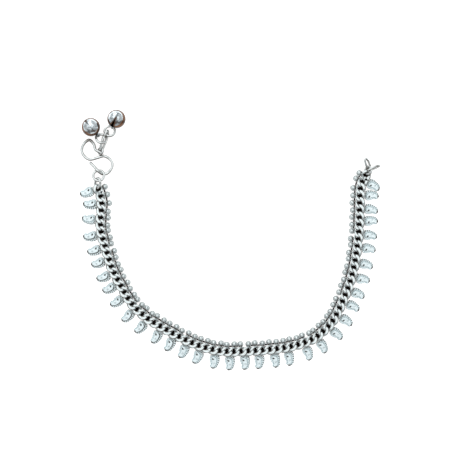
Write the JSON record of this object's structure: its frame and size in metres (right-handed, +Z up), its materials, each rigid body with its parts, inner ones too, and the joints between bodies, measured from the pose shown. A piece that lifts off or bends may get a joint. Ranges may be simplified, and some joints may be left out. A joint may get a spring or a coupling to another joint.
{
  "type": "payal anklet",
  "caption": "Silver payal anklet lying open: a curb chain with a row of balls inside, paisley charms outside, an S-hook with ghungroo bells and a tail of links.",
  "frame": {"origin": "centre of the anklet's bounding box, on the surface that it lies on", "axes": "+Z up from the surface; +X from the hook's end towards the tail's end; +Y from the middle of the chain towards the open ends"},
  "size_m": [0.1444, 0.1248, 0.0088],
  "materials": {
    "chain_silver": "polished silver curb links and balls, darker in the gaps",
    "charm_silver": "stamped silver with a milled rim, whitened",
    "wire_silver": "drawn silver wire, lightly worn",
    "bell_silver": "polished silver ball with scratches and brown tarnish at the sides",
    "pellet_steel": "plain steel shot"
  },
  "bodies": {
    "root": {"curb_chain_1": "chain_silver", "curb_chain_2": "chain_silver", "curb_chain_3": "chain_silver", "curb_chain_4": "chain_silver", "curb_chain_5": "chain_silver", "curb_chain_6": "chain_silver", "curb_chain_7": "chain_silver", "curb_chain_8": "chain_silver", "paisley_charm_01": "charm_silver", "paisley_charm_02": "charm_silver", "paisley_charm_03": "charm_silver", "paisley_charm_04": "charm_silver", "paisley_charm_05": "charm_silver", "paisley_charm_06": "charm_silver", "paisley_charm_07": "charm_silver", "paisley_charm_08": "charm_silver", "paisley_charm_09": "charm_silver", "paisley_charm_10": "charm_silver", "paisley_charm_11": "charm_silver", "paisley_charm_12": "charm_silver", "paisley_charm_13": "charm_silver", "paisley_charm_14": "charm_silver", "paisley_charm_15": "charm_silver", "paisley_charm_16": "charm_silver", "paisley_charm_17": "charm_silver", "paisley_charm_18": "charm_silver", "paisley_charm_19": "charm_silver", "paisley_charm_20": "charm_silver", "paisley_charm_21": "charm_silver", "paisley_charm_22": "charm_silver", "paisley_charm_23": "charm_silver", "paisley_charm_24": "charm_silver", "paisley_charm_25": "charm_silver", "paisley_charm_26": "charm_silver", "paisley_charm_27": "charm_silver", "paisley_charm_28": "charm_silver", "paisley_charm_29": "charm_silver", "paisley_charm_30": "charm_silver", "paisley_charm_31": "charm_silver", "paisley_charm_32": "charm_silver", "paisley_charm_33": "charm_silver", "paisley_charm_34": "charm_silver", "paisley_charm_35": "charm_silver", "s_hook": "wire_silver", "clasp_ring": "wire_silver", "hook_ring": "wire_silver", "bell_link": "wire_silver", "bell_ring_1": "wire_silver", "bell_ring_2": "wire_silver", "tail_ring": "wire_silver", "tail_link_1": "wire_silver", "tail_link_2": "wire_silver", "bell_1": "bell_silver", "bell_2": "bell_silver", "bell_pellet_1": "pellet_steel", "bell_pellet_2": "pellet_steel", "end_link": "wire_silver"}
  },
  "joints": []
}
